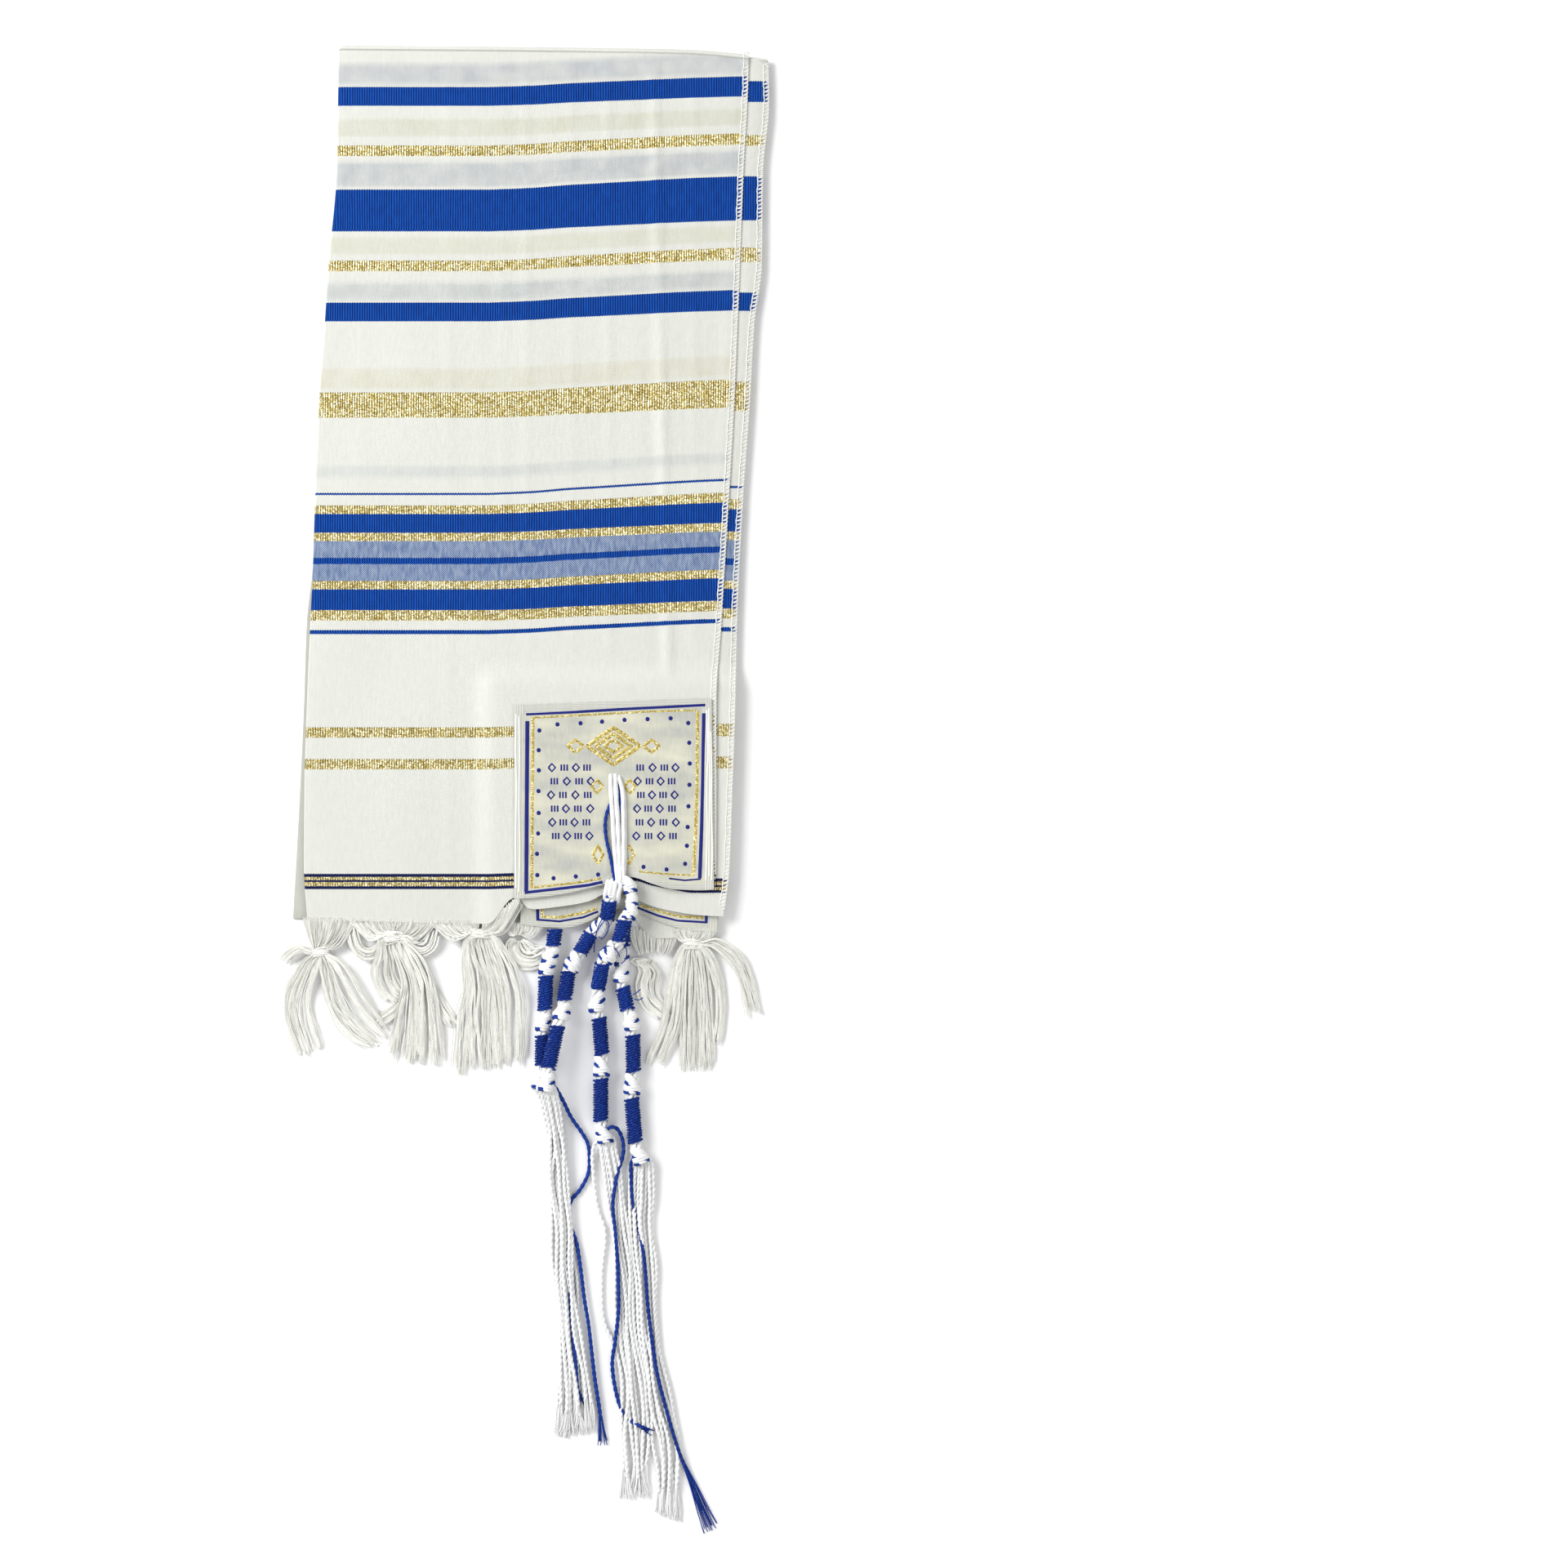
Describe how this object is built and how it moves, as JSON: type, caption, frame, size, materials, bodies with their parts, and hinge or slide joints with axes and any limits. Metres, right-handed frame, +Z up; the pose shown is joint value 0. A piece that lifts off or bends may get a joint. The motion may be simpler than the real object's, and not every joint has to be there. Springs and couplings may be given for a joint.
{
  "type": "tallit prayer shawl",
  "caption": "Striped prayer shawl folded flat, with square corner patches, knotted corner tassels wound in blue, and a knotted yarn fringe along the hem.",
  "frame": {"origin": "middle of the folded garment's plan on the surface that it lies on", "axes": "+Y along the garment towards its folded top end, +Z up, +X towards the stitched selvedges"},
  "size_m": [0.2498, 0.7643, 0.0173],
  "materials": {
    "white_cloth": "matt weave with ribbed blue and glittering gold stripes",
    "patch_cloth": "woven patch with a soft sheen",
    "white_cord": "plied cotton",
    "blue_cord": "plied cotton",
    "fringe_yarn": "soft silky yarn"
  },
  "bodies": {
    "root": {"front_layer": "white_cloth", "second_layer": "white_cloth", "fold_core": "white_cloth", "back_layer": "white_cloth", "patch_1": "patch_cloth", "patch_2": "patch_cloth", "patch_3": "patch_cloth", "patch_4": "patch_cloth", "tassel_1": "white_cord", "tassel_2": "white_cord", "tassel_3": "white_cord", "tassel_4": "white_cord", "winding_1_1": "blue_cord", "winding_1_2": "blue_cord", "winding_1_3": "blue_cord", "winding_1_4": "blue_cord", "winding_2_1": "blue_cord", "winding_2_2": "blue_cord", "winding_2_3": "blue_cord", "winding_2_4": "blue_cord", "winding_3_1": "blue_cord", "winding_3_2": "blue_cord", "winding_3_3": "blue_cord", "winding_3_4": "blue_cord", "winding_4_1": "blue_cord", "winding_4_2": "blue_cord", "winding_4_3": "blue_cord", "fringe_1": "fringe_yarn", "fringe_2": "fringe_yarn", "fringe_3": "fringe_yarn", "fringe_4": "fringe_yarn", "fringe_5": "fringe_yarn", "fringe_6": "fringe_yarn"}
  },
  "joints": []
}
